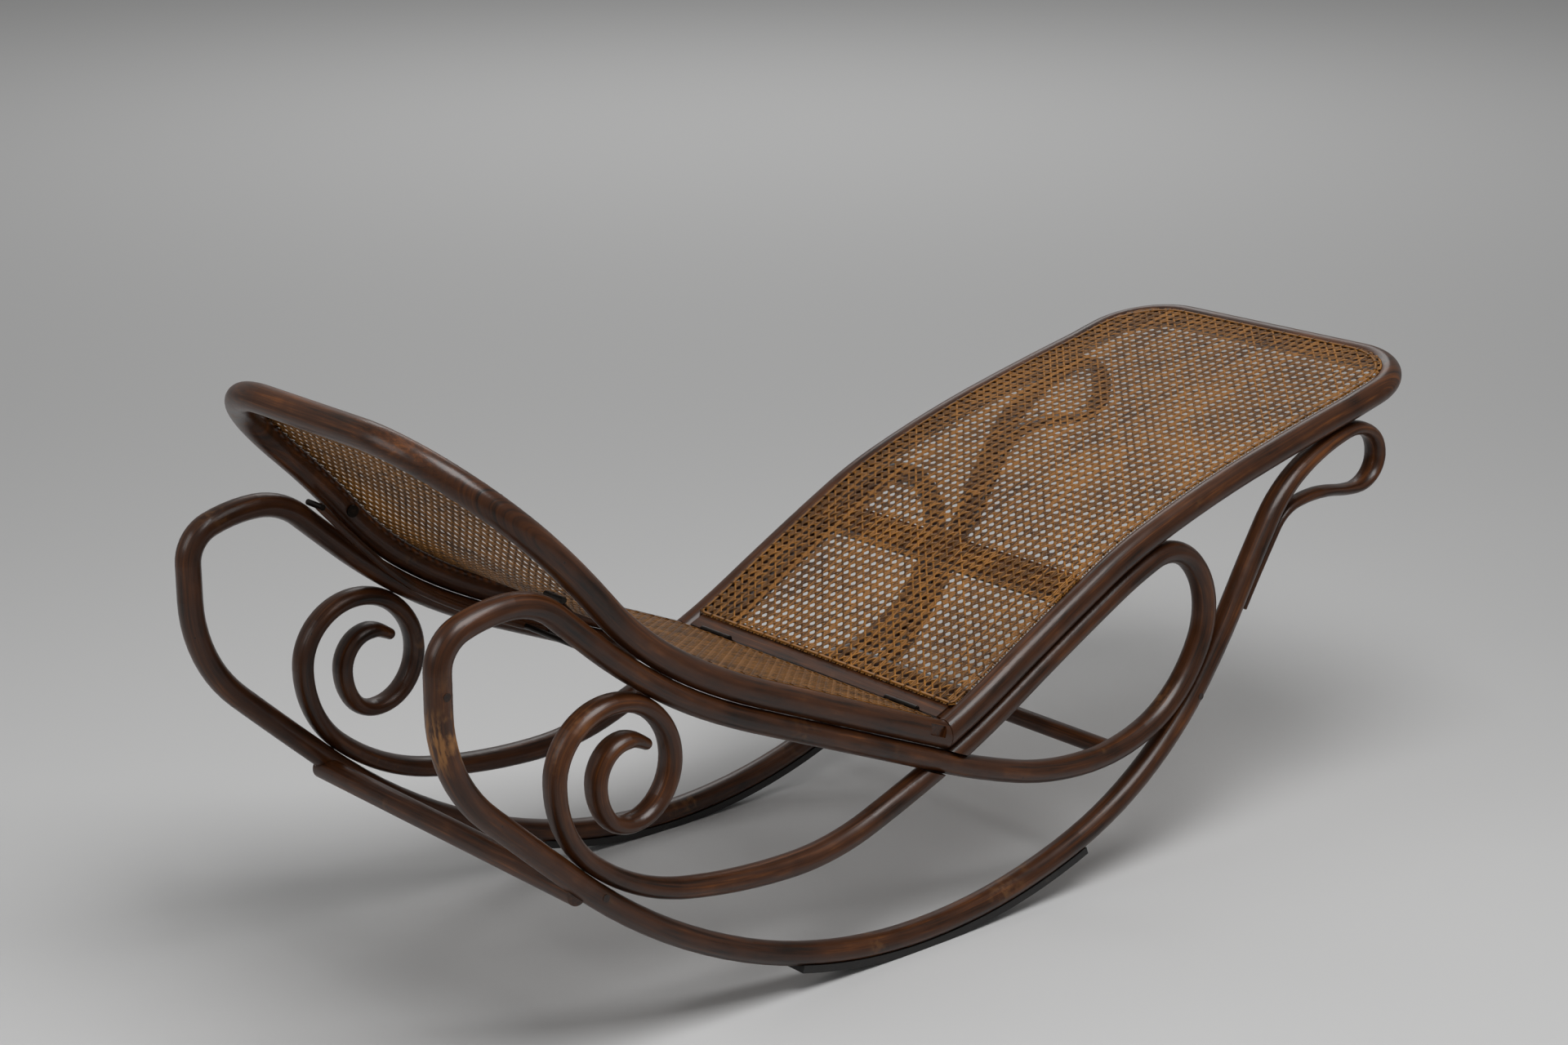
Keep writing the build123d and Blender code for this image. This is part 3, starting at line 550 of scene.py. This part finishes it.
class CaneTrees:
    """Geometry trees that weave cane flat, in length and width, and then wrap it on a panel's profile."""

    COUNTS = ("Bays", "Rows", "Bay Points", "Row Points", "Diagonals")
    MEASURES = (
        "Length", "Half Width", "Corner", "Bay", "Row", "First Row", "First Diagonal", "Pair Gap",
        "Strand Width", "Strand Height", "Up", "Sink",
    )
    INPUTS = {
        "Profile": Socket.GEOMETRY, "Material": Socket.MATERIAL,
        **dict.fromkeys(COUNTS, Socket.COUNT), **dict.fromkeys(MEASURES, Socket.VALUE),
    }
    OUTPUTS = {"Geometry": Socket.GEOMETRY}
    WRAP_INPUTS = ("Profile", "Up", "Sink")
    PAIR_LIFT = 0.3
    TINT_SEED = 7
    CROWN = 0.62
    CORNER_STEPS = 14
    EDGE_INSET = 0.004
    TIE_LENGTH = 0.002

    def __init__(self) -> None:
        """Build the trees once for both panels."""
        self.wrap = self.wrap_group()
        self.pairs = self.pairs_tree()
        self.diagonals = self.diagonals_tree()
        self.binder = self.binder_tree()

    def wrap_group(self) -> bpy.types.NodeTree:
        """Bend flat work onto the profile: X becomes length along it, and Z height over it."""
        inputs = {"Geometry": Socket.GEOMETRY}
        inputs.update({name: self.INPUTS[name] for name in self.WRAP_INPUTS})
        graph = Graph.group("wrap_on_profile", Tree.GEOMETRY, inputs, self.OUTPUTS)
        along, across, height = graph.split(graph.place())
        curve = graph.add("GeometryNodeMeshToCurve", {"Mesh": graph.entry["Profile"]}).outputs[0]
        inputs = {"Curves": curve, "Length": along}
        spot = graph.add("GeometryNodeSampleCurve", inputs, mode="LENGTH").outputs
        normal = graph.vector("CROSS_PRODUCT", spot["Tangent"], (0.0, 1.0, 0.0))
        rise = graph.math("SUBTRACT", height, graph.entry["Sink"])
        rise = graph.math("MULTIPLY", rise, graph.entry["Up"])
        lift = graph.vector("SCALE", normal)
        graph.feed(lift.node.inputs["Scale"], rise)
        sideways = graph.xyz(0.0, graph.math("MULTIPLY", across, graph.entry["Up"]), 0.0)
        bent = graph.vector("ADD", graph.vector("ADD", spot["Position"], sideways), lift)
        inputs = {"Geometry": graph.entry["Geometry"], "Position": bent}
        graph.feed(graph.exit["Geometry"], graph.add("GeometryNodeSetPosition", inputs).outputs[0])
        return graph.tree

    def start(self, name: str) -> Graph:
        """Start a tree with the sockets that all the cane trees share."""
        return Graph.group(name, Tree.GEOMETRY, self.INPUTS, self.OUTPUTS)

    @staticmethod
    def wave(
        graph: Graph, curves: object, axis: int, pitch: object, base: float, swing: float,
    ) -> bpy.types.NodeSocket:
        """Raise and lower strands along an axis as they pass over and under, in strand heights."""
        turns = graph.math("DIVIDE", graph.split(graph.place())[axis], pitch)
        swell = graph.math("COSINE", graph.math("MULTIPLY", turns, math.tau))
        share = graph.math("MULTIPLY_ADD", swell, swing, base)
        rise = graph.math("MULTIPLY", share, graph.entry["Strand Height"])
        return graph.shift(curves, graph.xyz(0.0, 0.0, rise))

    @staticmethod
    def trim(graph: Graph, curves: object) -> bpy.types.NodeSocket:
        """Cut strands off past the panel's ends, and end them on the round corners."""
        length, half, corner = (graph.entry[name] for name in ("Length", "Half Width", "Corner"))
        along, across, _ = graph.split(graph.place())
        past_end = graph.math("ADD", graph.math("SUBTRACT", along, length), corner)
        past_end = graph.math("MAXIMUM", past_end, 0.0)
        past_side = graph.math("SUBTRACT", graph.math("ABSOLUTE", across), half)
        past_side = graph.math("MAXIMUM", graph.math("ADD", past_side, corner), 0.0)
        inputs = {0: graph.xyz(past_end, past_side, 0.0)}
        reach = graph.add("ShaderNodeVectorMath", inputs, operation="LENGTH").outputs["Value"]
        excess = graph.math("SUBTRACT", reach, corner)
        slack = graph.math("MULTIPLY", graph.entry["Bay"], 0.5)
        lost = graph.math("GREATER_THAN", excess, slack)
        lost = graph.math("MAXIMUM", lost, graph.math("LESS_THAN", along, -EDGE_SLACK))
        beyond = graph.math("GREATER_THAN", along, graph.math("ADD", length, EDGE_SLACK))
        inputs = {"Geometry": curves, "Selection": graph.math("MAXIMUM", lost, beyond)}
        kept = graph.add("GeometryNodeDeleteGeometry", inputs, domain="POINT").outputs[0]
        pull = graph.math("MAXIMUM", excess, 0.0)
        pull = graph.math("DIVIDE", pull, graph.math("MAXIMUM", reach, EDGE_SLACK))
        back = graph.math("MULTIPLY", graph.math("MULTIPLY", past_end, pull), -1.0)
        inward = graph.math("MULTIPLY", graph.math("MULTIPLY", past_side, pull), -1.0)
        inward = graph.math("MULTIPLY", inward, graph.math("SIGN", across))
        kept = graph.shift(kept, graph.xyz(back, inward, 0.0))
        span = graph.add("GeometryNodeSplineLength").outputs["Length"]
        inputs = {"Geometry": kept, "Selection": graph.math("LESS_THAN", span, slack)}
        return graph.add("GeometryNodeDeleteGeometry", inputs, domain="CURVE").outputs[0]

    def finish(self, graph: Graph, shape: object) -> bpy.types.NodeTree:
        """Wrap flat work on the profile and give it its material."""
        inputs = {"Geometry": shape, **{name: graph.entry[name] for name in self.WRAP_INPUTS}}
        wrapped = graph.add("GeometryNodeGroup", inputs, node_tree=self.wrap).outputs[0]
        whole = graph.add("GeometryNodeRealizeInstances", {0: wrapped}).outputs[0]
        inputs = {"Geometry": whole, "Material": graph.entry["Material"]}
        graph.feed(graph.exit["Geometry"], graph.add("GeometryNodeSetMaterial", inputs).outputs[0])
        return graph.tree

    def sweep(self, graph: Graph, curves: object) -> bpy.types.NodeSocket:
        """Give strands their flat, crowned section and a tint of their own."""
        inputs = {"Seed": self.TINT_SEED}
        value = graph.add("FunctionNodeRandomValue", inputs, data_type="FLOAT").outputs[1]
        inputs = {"Geometry": curves, "Name": TINT, "Value": value}
        settings = {"data_type": "FLOAT", "domain": "CURVE"}
        tinted = graph.add("GeometryNodeStoreNamedAttribute", inputs, **settings).outputs[0]
        level = graph.add("GeometryNodeSetCurveNormal", {0: tinted}, mode="Z_UP").outputs[0]
        wide = graph.entry["Strand Width"]
        inputs = {
            "Bottom Width": wide, "Top Width": graph.math("MULTIPLY", wide, self.CROWN),
            "Offset": 0.0, "Height": graph.entry["Strand Height"],
        }
        section = graph.add("GeometryNodeCurvePrimitiveQuadrilateral", inputs, mode="TRAPEZOID").outputs[0]
        inputs = {"Curve": level, "Profile Curve": section, "Fill Caps": True}
        return graph.add("GeometryNodeCurveToMesh", inputs).outputs[0]

    def pairs_tree(self) -> bpy.types.NodeTree:
        """Pairs of strands along and across the panel."""
        graph = self.start("cane_pairs")
        entry = graph.entry
        near = graph.math("MULTIPLY", entry["Pair Gap"], -0.5)
        far = graph.math("MULTIPLY", entry["Pair Gap"], 0.5)
        low, high = graph.math("MULTIPLY", entry["Half Width"], -1.0), entry["Half Width"]
        lengthways = graph.join(*[
            graph.line(graph.xyz(0.0, side, 0.0), graph.xyz(entry["Length"], side, 0.0))
            for side in (near, far)
        ])
        crossways = graph.join(*[
            graph.line(graph.xyz(side, low, 0.0), graph.xyz(side, high, 0.0)) for side in (near, far)
        ])
        lengthways = graph.repeat(
            graph.evenly(lengthways, entry["Bay Points"]), entry["Rows"],
            graph.xyz(0.0, entry["First Row"], 0.0), graph.xyz(0.0, entry["Row"], 0.0),
        )
        crossways = graph.repeat(
            graph.evenly(crossways, entry["Row Points"]), entry["Bays"],
            graph.xyz(entry["Bay"], 0.0, 0.0), graph.xyz(entry["Bay"], 0.0, 0.0),
        )
        lift = self.PAIR_LIFT
        lengthways = self.wave(graph, lengthways, 0, entry["Bay"], lift, lift)
        crossways = self.wave(graph, crossways, 1, entry["Row"], -lift, -lift)
        woven = self.trim(graph, graph.join(lengthways, crossways))
        return self.finish(graph, self.sweep(graph, woven))

    def diagonals_tree(self) -> bpy.types.NodeTree:
        """Single strands both ways on the slant, between the crossings of the pairs."""
        graph = self.start("cane_diagonals")
        entry = graph.entry
        rows = graph.math("DIVIDE", entry["Half Width"], entry["Row"])
        run = graph.math("MULTIPLY", graph.math("MULTIPLY", rows, 2.0), entry["Bay"])
        low = graph.math("MULTIPLY", entry["Half Width"], -1.0)
        slants = []
        for first, last, swing in ((low, entry["Half Width"], -1.0), (entry["Half Width"], low, 1.0)):
            slant = graph.evenly(
                graph.line(graph.xyz(0.0, first, 0.0), graph.xyz(run, last, 0.0)), entry["Row Points"],
            )
            slant = graph.repeat(
                slant, entry["Diagonals"],
                graph.xyz(entry["First Diagonal"], 0.0, 0.0), graph.xyz(entry["Bay"], 0.0, 0.0),
            )
            slants.append(self.wave(graph, slant, 0, entry["Bay"], 0.0, swing))
        woven = self.trim(graph, graph.join(*slants))
        return self.finish(graph, self.sweep(graph, woven))

    def binder_tree(self) -> bpy.types.NodeTree:
        """The flat cane that covers the holes round the edge, tied down at every other hole."""
        graph = self.start("cane_binder")
        entry = graph.entry
        near, far = self.EDGE_INSET, graph.math("SUBTRACT", entry["Length"], self.EDGE_INSET)
        right = graph.math("SUBTRACT", entry["Half Width"], self.EDGE_INSET)
        left = graph.math("MULTIPLY", right, -1.0)
        corners = [graph.xyz(near, left, 0.0), graph.xyz(far, left, 0.0)]
        corners += [graph.xyz(far, right, 0.0), graph.xyz(near, right, 0.0)]
        inputs = {f"Point {number}": corner for number, corner in enumerate(corners, 1)}
        edge = graph.add("GeometryNodeCurvePrimitiveQuadrilateral", inputs, mode="POINTS").outputs[0]
        middle = graph.math("MULTIPLY", entry["Length"], 0.5)
        end = graph.math("GREATER_THAN", graph.split(graph.place())[0], middle)
        inputs = {"Curve": edge, "Count": self.CORNER_STEPS}
        inputs["Radius"] = graph.math("MULTIPLY_ADD", end, entry["Corner"], self.EDGE_INSET)
        edge = graph.add("GeometryNodeFilletCurve", inputs, mode="POLY").outputs[0]
        pace = graph.math("MULTIPLY", entry["Bay"], 0.5)
        inputs = {"Curve": edge, "Length": pace}
        edge = graph.add("GeometryNodeResampleCurve", inputs, mode="LENGTH").outputs[0]
        inputs = {"Curve": edge, "Length": graph.math("MULTIPLY", entry["Bay"], 2.0)}
        ties = graph.add("GeometryNodeCurveToPoints", inputs, mode="LENGTH").outputs
        inputs = {"Vector": ties["Tangent"]}
        turn = graph.add("FunctionNodeAlignRotationToVector", inputs, axis="X").outputs[0]
        size = graph.xyz(
            self.TIE_LENGTH, graph.math("ADD", entry["Strand Width"], self.TIE_LENGTH),
            graph.math("ADD", entry["Strand Height"], self.TIE_LENGTH),
        )
        tie = graph.add("GeometryNodeMeshCube", {"Size": size}).outputs[0]
        inputs = {"Points": ties["Points"], "Instance": tie, "Rotation": turn}
        copies = graph.add("GeometryNodeInstanceOnPoints", inputs).outputs[0]
        copies = graph.add("GeometryNodeRealizeInstances", {0: copies}).outputs[0]
        return self.finish(graph, graph.join(self.sweep(graph, edge), copies))


@dataclass
class CanePanel:
    """A six-way cane panel in place of a plain sheet, with the binder round its edge.

    Attributes:
        node: the sheet that the cane stands for.
        body: the body that carries it.
        towards: the way it runs from the valley.
        corner: radius of its two round corners.
        start: bare length of the rail at the valley.
        pitch: about the distance between pairs of strands.
        pair_gap: distance between the two strands of a pair.
        sink: depth of the weave's middle below the sheet's face.
        binder_sink: depth of the binder's middle below it.
    """

    node: str
    body: str
    towards: Towards
    corner: float
    start: float = 0.0
    pitch: float = 0.0143
    pair_gap: float = 0.0034
    pair_width: float = 0.0027
    slant_width: float = 0.0029
    strand_height: float = 0.0008
    binder_width: float = 0.0042
    binder_height: float = 0.0012
    sink: float = 0.001
    binder_sink: float = 0.0
    pieces: list[bpy.types.Object] = field(default_factory=list)

    def profile(self) -> list[Vector]:
        """The sheet's upper face along its middle, from the valley outwards."""
        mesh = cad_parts[self.node].data
        heights: dict[float, float] = {}
        for face in mesh.polygons:
            if face.normal.z > FACING_UP:
                for number in face.vertices:
                    spot = mesh.vertices[number].co
                    heights[round(spot.x, 4)] = spot.z
        stations = sorted(heights, reverse=self.towards is Towards.HEAD)
        line = [Vector((x, 0.0, heights[x])) for x in stations]
        spare = self.start
        while spare > (line[1] - line[0]).length:
            spare -= (line[1] - line[0]).length
            line.pop(0)
        line[0] = line[0] + (line[1] - line[0]).normalized() * spare
        return line

    def guide(self, profile: list[Vector]) -> bpy.types.Mesh:
        """The profile as a chain of edges."""
        mesh = bpy.data.meshes.new(f"{self.node}_profile")
        edges = [(number, number + 1) for number in range(len(profile) - 1)]
        mesh.from_pydata(profile, edges, [])
        return mesh

    def lattice(self, length: float) -> dict[str, float | int]:
        """Fit whole bays and rows to the panel.

        Args:
            length: the panel's length along its profile.

        Returns:
            The trees' inputs that set the lattice.
        """
        low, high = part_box(self.node)
        half = (high.y - low.y) / 2
        bays = round(length / self.pitch)
        row_count = round(2 * half / self.pitch)
        bay, row = length / bays, 2 * half / row_count
        edge_row = math.ceil(row_count / 2 - 1)
        first_slant = (0.5 + row_count / 2) % 1 - row_count
        return {
            "Length": length, "Half Width": half, "Corner": self.corner, "Bay": bay, "Row": row,
            "Bays": bays - 1, "Rows": 2 * edge_row + 1, "First Row": -edge_row * row,
            "Bay Points": 2 * bays + 1, "Row Points": 2 * row_count + 1,
            "Diagonals": math.ceil(bays - first_slant), "First Diagonal": first_slant * bay,
            "Pair Gap": self.pair_gap, "Up": float(self.towards.value), "Sink": self.sink,
        }

    def weave(self, trees: CaneTrees, material: bpy.types.Material, edging: bpy.types.Material) -> None:
        """Make the panel's three pieces and put them in the sheet's place.

        Args:
            trees: the weaving trees.
            material: finish of the strands.
            edging: finish of the binder.
        """
        profile = self.profile()
        length = sum((end - start).length for start, end in zip(profile, profile[1:]))
        shared = {**self.lattice(length), "Material": material, "Strand Height": self.strand_height}
        jobs = {
            "pairs": (trees.pairs, {"Strand Width": self.pair_width}),
            "diagonals": (trees.diagonals, {"Strand Width": self.slant_width}),
            "binder": (trees.binder, {
                "Strand Width": self.binder_width, "Strand Height": self.binder_height,
                "Sink": self.binder_sink, "Material": edging,
            }),
        }
        for suffix, (tree, own) in jobs.items():
            piece = bake_nodes(f"{self.node}_{suffix}", self.guide(profile), tree, {**shared, **own})
            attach(piece, self.body)
            self.pieces.append(piece)
        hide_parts(self.node)
        for piece in self.pieces:
            LOG.info("%s: %d faces", piece.name, len(piece.data.polygons))


@dataclass
class PropBail:
    """Wooden arms beside the rest rods, tied by an iron bar, with iron feet under the back's rim.

    Attributes:
        node: the plain bail that the pieces stand for.
        body: the body that carries them.
        side: distance of each arm from the middle of the chaise.
        foot_end: distance of each foot's outer end from the middle.
        line: the arm in X and Z, from its pivot to its foot.
        tie: place of the bar in X and Z.
        section_steps: fineness of the rods' round section.
        curve_order: order of the curves that the rods follow.
    """

    node: str = "prop_bail"
    body: str = "prop"
    side: float = 0.2445
    arm_radius: float = 0.0055
    eye_radius: float = 0.009
    iron_radius: float = 0.004
    foot_end: float = 0.270
    line: tuple[tuple[float, float], ...] = (
        (-0.330, 0.3472), (-0.365, 0.3608), (-0.400, 0.376), (-0.480, 0.4125), (-0.555, 0.4575),
        (-0.621, 0.5203), (-0.683, 0.588),
    )
    tie: tuple[float, float] = (-0.372, 0.3638)
    section_steps: int = 4
    curve_order: int = 3

    def rods(self, name: str, lines: list[list[Place]], radius: float) -> bpy.types.Object:
        """Make round rods along lines of points, as one mesh at the origin."""
        curve = bpy.data.curves.new(name, "CURVE")
        curve.dimensions = "3D"
        curve.bevel_depth = radius
        curve.bevel_resolution = self.section_steps
        curve.use_fill_caps = True
        for line in lines:
            spline = curve.splines.new("NURBS")
            spline.points.add(len(line) - 1)
            for knot, spot in zip(spline.points, line):
                knot.co = (*spot, 1.0)
            spline.order_u = self.curve_order
            spline.use_endpoint_u = True
        carrier = bpy.data.objects.new(f"{name}_line", curve)
        piece = bpy.data.objects.new(name, bpy.data.meshes.new_from_object(carrier))
        bpy.data.objects.remove(carrier)
        bpy.context.scene.collection.objects.link(piece)
        return piece

    def build(self, wood: bpy.types.Material, iron: bpy.types.Material) -> None:
        """Make the bail's pieces and put them in the plain bail's place.

        Args:
            wood: finish of the arms.
            iron: finish of the bar and the feet.
        """
        arms, eyes, irons = [], [], []
        pivot, foot = self.line[0], self.line[-1]
        thick = self.arm_radius
        for sign in (1, -1):
            arms.append([(x, sign * self.side, z) for x, z in self.line])
            through = (self.side - thick, self.side, self.side + thick)
            eyes.append([(pivot[0], sign * reach, pivot[1]) for reach in through])
            turned_out = (self.side - thick - self.iron_radius, self.side, self.foot_end)
            irons.append([(foot[0], sign * reach, foot[1]) for reach in turned_out])
        irons.append([(self.tie[0], reach, self.tie[1]) for reach in (-self.side, 0.0, self.side)])
        pieces = {
            "arms": (arms, self.arm_radius, wood, "bentwood"),
            "eyes": (eyes, self.eye_radius, wood, "bentwood"),
            "irons": (irons, self.iron_radius, iron, "iron"),
        }
        for suffix, (lines, radius, material, slot) in pieces.items():
            piece = self.rods(f"{self.node}_{suffix}", lines, radius)
            piece.data.materials.append(material)
            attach(piece, self.body)
            if suffix == "arms":
                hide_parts(self.node)
            LOG.info("%s: %d faces", piece.name, len(piece.data.polygons))


@dataclass
class WoodPlugs:
    """Round wooden plugs over the screws in the runners' outer faces, at stations in X and Z."""

    name: str = "runner_plugs"
    body: str = "frame"
    face: float = 0.2876
    radius: float = 0.0048
    depth: float = 0.0016
    sides: int = 24
    stations: tuple[tuple[float, float], ...] = ((-0.644, 0.218), (0.392, 0.229), (-0.858, 0.517))

    def tree(self) -> bpy.types.NodeTree:
        """A disc across the chaise at every point."""
        inputs = {
            "Places": Socket.GEOMETRY, "Material": Socket.MATERIAL,
            "Radius": Socket.VALUE, "Depth": Socket.VALUE,
        }
        graph = Graph.group("plug_tree", Tree.GEOMETRY, inputs, {"Geometry": Socket.GEOMETRY})
        inputs = {name: graph.entry[name] for name in ("Radius", "Depth")}
        disc = graph.add("GeometryNodeMeshCylinder", {"Vertices": self.sides, **inputs}).outputs[0]
        sideways = (math.pi / 2, 0.0, 0.0)
        inputs = {"Points": graph.entry["Places"], "Instance": disc, "Rotation": sideways}
        copies = graph.add("GeometryNodeInstanceOnPoints", inputs).outputs[0]
        whole = graph.add("GeometryNodeRealizeInstances", {0: copies}).outputs[0]
        inputs = {"Geometry": whole, "Material": graph.entry["Material"]}
        graph.feed(graph.exit["Geometry"], graph.add("GeometryNodeSetMaterial", inputs).outputs[0])
        return graph.tree

    def build(self, material: bpy.types.Material) -> None:
        """Make the plugs of both sides as one piece."""
        base = bpy.data.meshes.new(f"{self.name}_places")
        spots = [(x, side * self.face, z) for side in (1, -1) for x, z in self.stations]
        base.from_pydata(spots, [], [])
        values = {"Material": material, "Radius": self.radius, "Depth": self.depth}
        piece = bake_nodes(self.name, base, self.tree(), values)
        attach(piece, self.body)
        LOG.info("%s: %d faces", piece.name, len(piece.data.polygons))


@dataclass
class Frame:
    """The wooden frame and its fittings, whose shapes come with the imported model."""

    cross_words: tuple[str, ...] = ("rail", "stretcher")
    rim_words: tuple[str, ...] = ("rim",)
    iron_words: tuple[str, ...] = ("hinge", "prop", "screws")
    strip_words: tuple[str, ...] = ("strip",)

    def dress(self, finishes: Finishes) -> bpy.types.Material:
        """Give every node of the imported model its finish.

        Args:
            finishes: the materials.

        Returns:
            The finish of the iron fittings.
        """
        rods = finishes.bentwood("bentwood_rods", Varnish(), Run.SIDE_ROD)
        rims = finishes.bentwood("bentwood_rims", Varnish(), Run.RIM)
        bars = finishes.bentwood("bentwood_bars", Varnish(wear=0.25), Run.CROSS_BAR)
        iron = finishes.iron("fittings", Iron())
        strip = finishes.wear_strip("runner_strip", WearStrip())
        choices = (
            (self.iron_words, iron), (self.strip_words, strip),
            (self.cross_words, bars), (self.rim_words, rims),
        )
        for name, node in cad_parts.items():
            fitting = [found for words, found in choices if any(word in name for word in words)]
            material = fitting[0] if fitting else rods
            for slot in node.material_slots:
                slot.material = material
            LOG.info("%s: %s", name, material.name)
        return iron


@dataclass(frozen=True)
class Lamp:
    """A square soft lamp that faces a target."""

    name: str
    place: Place
    target: Place
    size: float
    power: float

    def hang(self) -> None:
        """Put the lamp in the scene, out of the camera's sight."""
        light = bpy.data.lights.new(self.name, "AREA")
        light.size = self.size
        light.energy = self.power
        lamp = bpy.data.objects.new(self.name, light)
        lamp.location = self.place
        lamp.visible_camera = False
        beam = Vector(self.target) - Vector(self.place)
        lamp.rotation_euler = beam.to_track_quat("-Z", "Y").to_euler()
        bpy.context.scene.collection.objects.link(lamp)


@dataclass
class Studio:
    """Pale floor, soft lamps and the camera at the photograph's angle."""

    floor_size: float = 60.0
    floor_colour: Colour = shade(195, 195, 195)
    floor_roughness: float = 0.9
    sky_colour: Colour = shade(226, 226, 225)
    sky_strength: float = 0.34
    lamps: tuple[Lamp, ...] = (
        Lamp("key_lamp", (-0.5, -1.3, 3.3), (0.15, 0.1, 0.2), size=1.8, power=88.0),
        Lamp("fill_lamp", (-3.4, 0.6, 2.2), (-0.2, 0.0, 0.4), size=1.6, power=22.0),
        Lamp("backdrop_lamp", (4.4, 5.3, 4.6), (4.3, 5.2, 0.0), size=4.0, power=120.0),
    )
    camera_place: Place = (-2.6213, -2.9065, 1.6306)
    camera_pitch: float = 16.24
    camera_heading: float = -40.69
    focal_pixels: float = 3700.0
    image_width: float = 1920.0
    sensor: float = 36.0

    def floor(self) -> None:
        """Lay the floor."""
        mesh = bpy.data.meshes.new("studio_floor")
        reach = self.floor_size / 2
        corners = [(-reach, -reach, 0), (reach, -reach, 0), (reach, reach, 0), (-reach, reach, 0)]
        mesh.from_pydata(corners, [], [(0, 1, 2, 3)])
        floor = bpy.data.objects.new("studio_floor", mesh)
        bpy.context.scene.collection.objects.link(floor)
        graph, shader = Finishes.blank("studio_paper")
        shader.inputs["Base Color"].default_value = self.floor_colour
        shader.inputs["Roughness"].default_value = self.floor_roughness
        mesh.materials.append(graph.material)

    def light(self) -> None:
        """Light the chaise from above in front, weakly from the head side, and the floor behind it."""
        world = bpy.data.worlds.new("studio_air")
        world.use_nodes = True
        background = world.node_tree.nodes["Background"]
        background.inputs["Color"].default_value = self.sky_colour
        background.inputs["Strength"].default_value = self.sky_strength
        bpy.context.scene.world = world
        for lamp in self.lamps:
            lamp.hang()

    def camera(self) -> None:
        """Stand the camera where the photograph was taken."""
        data = bpy.data.cameras.new("photo_camera")
        data.sensor_fit = "HORIZONTAL"
        data.sensor_width = self.sensor
        data.lens = self.focal_pixels / self.image_width * self.sensor
        camera = bpy.data.objects.new("photo_camera", data)
        camera.location = self.camera_place
        pitch, heading = math.radians(90 - self.camera_pitch), math.radians(self.camera_heading)
        camera.rotation_euler = (pitch, 0.0, heading)
        bpy.context.scene.collection.objects.link(camera)
        bpy.context.scene.camera = camera
        bpy.context.scene.view_settings.view_transform = "Standard"

    def build(self) -> None:
        """Set up the studio."""
        self.floor()
        self.light()
        self.camera()


def main() -> None:
    """Dress the frame, weave the cane and set up the studio."""
    logging.basicConfig(level=logging.INFO, format="%(name)s %(message)s")
    finishes = Finishes()
    iron = Frame().dress(finishes)
    trees = CaneTrees()
    seat_finish = Cane(dark=shade(60, 35, 11), light=shade(160, 107, 43))
    back_finish = Cane(dark=shade(55, 33, 11), light=shade(140, 94, 41))
    edging = finishes.cane("binder_cane", Cane(dark=shade(62, 36, 11), light=shade(142, 94, 38)))
    seat = CanePanel("seat_cane", "frame", Towards.FEET, corner=0.090, start=0.021)
    seat.weave(trees, finishes.cane("seat_cane_strands", seat_finish), edging)
    back = CanePanel("back_cane", "back", Towards.HEAD, corner=0.160)
    back.weave(trees, finishes.cane("back_cane_strands", back_finish), edging)
    plugs = Varnish(dark=shade(15, 8, 4), middle=shade(36, 19, 8), light=shade(58, 33, 14), wear=0.0)
    WoodPlugs().build(finishes.bentwood("plug_wood", plugs, Run.CROSS_BAR))
    arms = Varnish(wear=0.2)
    PropBail().build(finishes.bentwood("prop_wood", arms, Run.SIDE_ROD), iron)
    Studio().build()


if __name__ == "__main__":
    main()
